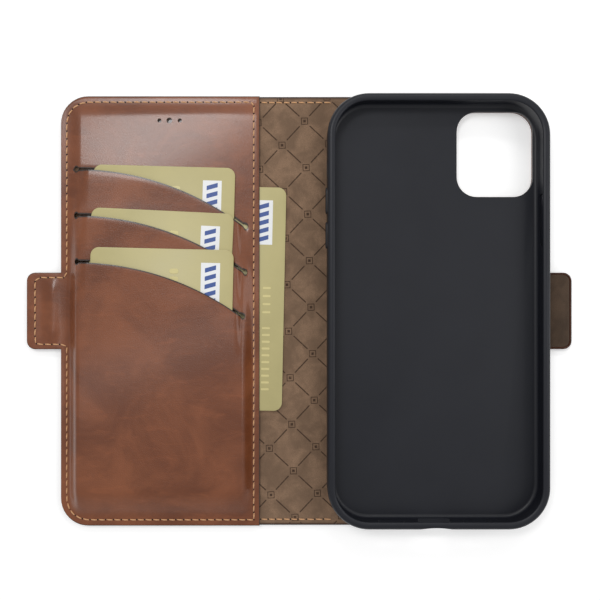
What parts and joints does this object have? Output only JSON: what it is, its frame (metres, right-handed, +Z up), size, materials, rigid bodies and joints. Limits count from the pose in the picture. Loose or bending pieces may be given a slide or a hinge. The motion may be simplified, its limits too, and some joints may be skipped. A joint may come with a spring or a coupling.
{
  "type": "phone wallet case",
  "caption": "Open leather phone wallet case: card flap with three slit pockets and a side pocket, folding spine, soft phone tray with camera window, and two closure tabs.",
  "frame": {"origin": "middle of the underside of the open case, on the surface it lies on", "axes": "+X from the card flap towards the phone tray, +Y towards the phone's top edge, +Z up out of the open inside"},
  "size_m": [0.2092, 0.1648, 0.0124],
  "materials": {
    "cover_leather": "smooth waxed cowhide, dyed dark tan",
    "panel_leather": "glossy burnished tan cowhide",
    "suede": "brushed brown micro-suede with a dark lattice print",
    "board": "grey stiffening board",
    "pocket_fabric": "thin dark woven pocket cloth",
    "thread": "tan waxed sewing thread",
    "tray_plastic": "matte black soft TPU",
    "adhesive": "double-sided adhesive sheet",
    "magnet": "nickel-plated magnet",
    "card_plastic": "satin gold printed card"
  },
  "bodies": {
    "back": {"back_outer_leather": "cover_leather", "back_board": "board", "back_lining": "suede", "tray_adhesive": "adhesive", "phone_tray": "tray_plastic"},
    "side_button": {"side_button_pad": "tray_plastic"},
    "volume_up_button": {"volume_up_pad": "tray_plastic"},
    "volume_down_button": {"volume_down_pad": "tray_plastic"},
    "back_tab": {"back_tab_leather": "cover_leather", "back_tab_filler": "board", "back_tab_magnet": "magnet", "back_tab_lining": "suede"},
    "spine": {"spine_outer_leather": "cover_leather", "spine_lining": "suede", "spine_seam_top": "thread", "spine_seam_bottom": "thread"},
    "flap": {"flap_outer_leather": "cover_leather", "flap_board": "board", "flap_lining": "suede", "card_panel": "panel_leather", "pocket_liner_upper": "pocket_fabric", "pocket_liner_middle": "pocket_fabric", "pocket_liner_lower": "pocket_fabric", "flap_seam": "thread"},
    "flap_tab": {"flap_tab_leather": "cover_leather", "flap_tab_filler": "board", "flap_tab_magnet": "magnet", "flap_tab_inner_leather": "panel_leather", "flap_tab_seam": "thread"},
    "upper_card": {"card_upper": "card_plastic"},
    "middle_card": {"card_middle": "card_plastic"},
    "lower_card": {"card_lower": "card_plastic"},
    "side_card": {"card_side": "card_plastic"}
  },
  "joints": [
    {"name": "spine_fold", "type": "hinge", "parent": "back", "child": "spine", "pos_m": [0.01, 0, 0.003], "axis": [0, 1, 0], "range_deg": [0, 90]},
    {"name": "flap_fold", "type": "hinge", "parent": "spine", "child": "flap", "pos_m": [-0.0051, 0, 0.003], "axis": [0, 1, 0], "range_deg": [0, 90]},
    {"name": "flap_tab_fold", "type": "hinge", "parent": "flap", "child": "flap_tab", "pos_m": [-0.0917, 0, 0.0027], "axis": [0, 1, 0], "range_deg": [0, 90]},
    {"name": "back_tab_fold", "type": "hinge", "parent": "back", "child": "back_tab", "pos_m": [0.0936, 0, 0.0022], "axis": [0, -1, 0], "range_deg": [0, 90]},
    {"name": "upper_card_slide", "type": "slide", "parent": "flap", "child": "upper_card", "axis": [-0.0262, -0.9997, 0], "range_m": [-0.086, 0]},
    {"name": "middle_card_slide", "type": "slide", "parent": "flap", "child": "middle_card", "axis": [-0.0471, -0.9989, 0], "range_m": [-0.086, 0]},
    {"name": "lower_card_slide", "type": "slide", "parent": "flap", "child": "lower_card", "axis": [-0.0236, -0.9997, 0], "range_m": [-0.086, 0]},
    {"name": "side_card_slide", "type": "slide", "parent": "flap", "child": "side_card", "axis": [-0.9998, 0.0209, 0], "range_m": [-0.011, 0.014]},
    {"name": "side_button_press", "type": "slide", "parent": "back", "child": "side_button", "axis": [-1, 0, 0], "range_m": [0, 0.0005], "stiffness_N_per_m": 600},
    {"name": "volume_up_press", "type": "slide", "parent": "back", "child": "volume_up_button", "axis": [1, 0, 0], "range_m": [0, 0.0005], "stiffness_N_per_m": 600},
    {"name": "volume_down_press", "type": "slide", "parent": "back", "child": "volume_down_button", "axis": [1, 0, 0], "range_m": [0, 0.0005], "stiffness_N_per_m": 600}
  ]
}
